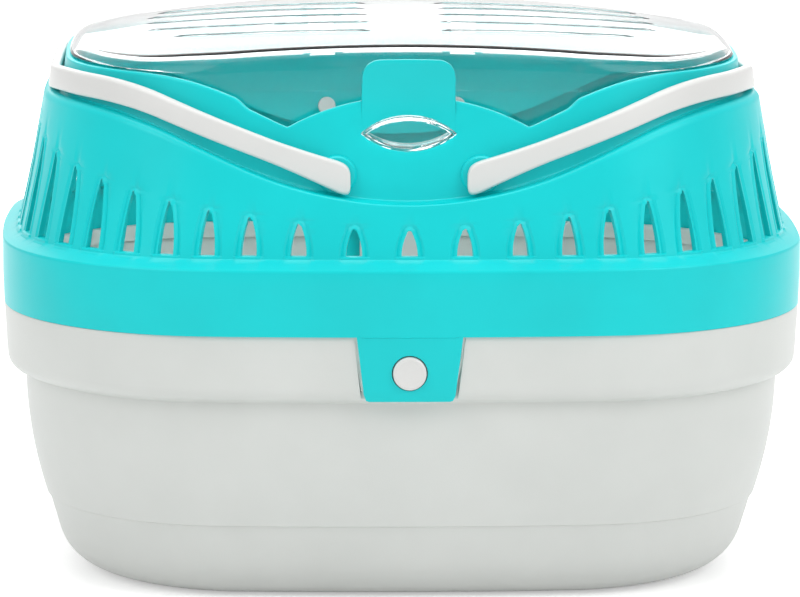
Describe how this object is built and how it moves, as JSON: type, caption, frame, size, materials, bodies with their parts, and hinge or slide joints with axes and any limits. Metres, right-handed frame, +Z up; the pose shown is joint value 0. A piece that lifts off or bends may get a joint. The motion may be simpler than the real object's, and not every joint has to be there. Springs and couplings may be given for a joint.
{
  "type": "small pet carrier",
  "caption": "Small pet carrier: rounded tub, slotted cover with a wavy ledge, clear hinged lid with a lens-shaped catch, two swing handles and two push latches.",
  "frame": {"origin": "middle of the tub's underside, on the surface that the carrier stands on", "axes": "+X along the length to the right handle's side, -Y towards the front with the thumb tab and the lens-shaped catch, +Z up"},
  "size_m": [0.3, 0.2308, 0.2083],
  "materials": {
    "grey_plastic": "satin",
    "teal_plastic": "satin",
    "clear_plastic": "gloss",
    "white_plastic": "satin",
    "hinge_pin": "satin"
  },
  "bodies": {
    "tub": {"base_tub": "grey_plastic"},
    "cover": {"cover_shell": "teal_plastic", "lid_hinge_pins": "hinge_pin"},
    "lid": {"clear_lid": "clear_plastic"},
    "lid_catch": {"lid_release_catch": "clear_plastic"},
    "left_handle": {"left_handle": "white_plastic"},
    "right_handle": {"right_handle": "white_plastic"},
    "front_latch": {"front_latch_button": "white_plastic"},
    "rear_latch": {"rear_latch_button": "white_plastic"}
  },
  "joints": [
    {"name": "cover_lift", "type": "slide", "parent": "tub", "child": "cover", "axis": [0, 0, 1], "range_m": [0, 0.15]},
    {"name": "lid_hinge", "type": "hinge", "parent": "cover", "child": "lid", "pos_m": [0, 0.0907, 0.1945], "axis": [-1, 0, 0], "range_deg": [0, 105]},
    {"name": "lid_catch_press", "type": "slide", "parent": "lid", "child": "lid_catch", "axis": [0, 1, 0], "range_m": [0, 0.006], "stiffness_N_per_m": 300},
    {"name": "left_handle_swing", "type": "hinge", "parent": "cover", "child": "left_handle", "pos_m": [-0.0257, 0, 0.15785], "axis": [0, -1, 0], "range_deg": [-85, 0]},
    {"name": "right_handle_swing", "type": "hinge", "parent": "cover", "child": "right_handle", "pos_m": [0.0257, 0, 0.15785], "axis": [0, 1, 0], "range_deg": [-85, 0]},
    {"name": "front_latch_press", "type": "slide", "parent": "cover", "child": "front_latch", "axis": [0, 1, 0], "range_m": [0, 0.0038], "stiffness_N_per_m": 600},
    {"name": "rear_latch_press", "type": "slide", "parent": "cover", "child": "rear_latch", "axis": [0, -1, 0], "range_m": [0, 0.0038], "stiffness_N_per_m": 600}
  ]
}
